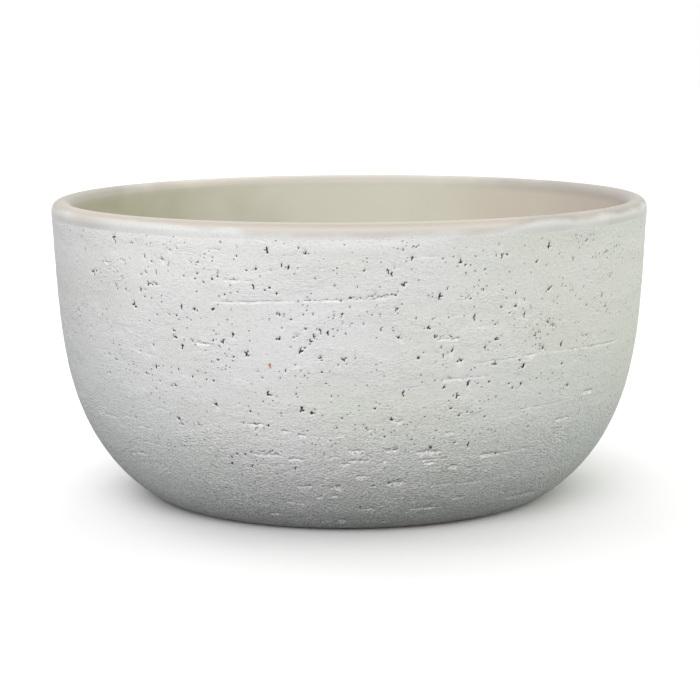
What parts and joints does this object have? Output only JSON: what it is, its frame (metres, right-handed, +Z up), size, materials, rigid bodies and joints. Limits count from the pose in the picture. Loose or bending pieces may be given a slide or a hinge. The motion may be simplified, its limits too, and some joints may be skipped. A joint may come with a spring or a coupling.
{
  "type": "bowl planter",
  "caption": "Round bowl planter in fired clay with a rough pitted cement coat outside, a smooth glazed inside and rolled lip, and felt pads under its foot ring.",
  "frame": {"origin": "centre of the circle that the felt pads stand on, at ground level under the bowl", "axes": "+Z up along the turning axis; the pads lie at 45 degrees between X and Y"},
  "size_m": [0.31, 0.31, 0.155],
  "materials": {
    "fired_clay": "bare terracotta, matt and slightly gritty",
    "cement_coat": "pale grey cement-look slip, matt, scraped in rings and full of small pits",
    "glaze": "cream glaze, semi-gloss",
    "felt": "pressed grey felt, self-adhesive"
  },
  "bodies": {
    "root": {"clay_body": "fired_clay", "cement_coat": "cement_coat", "glaze_lining": "glaze", "floor_pad_1": "felt", "floor_pad_2": "felt", "floor_pad_3": "felt", "floor_pad_4": "felt"}
  },
  "joints": []
}
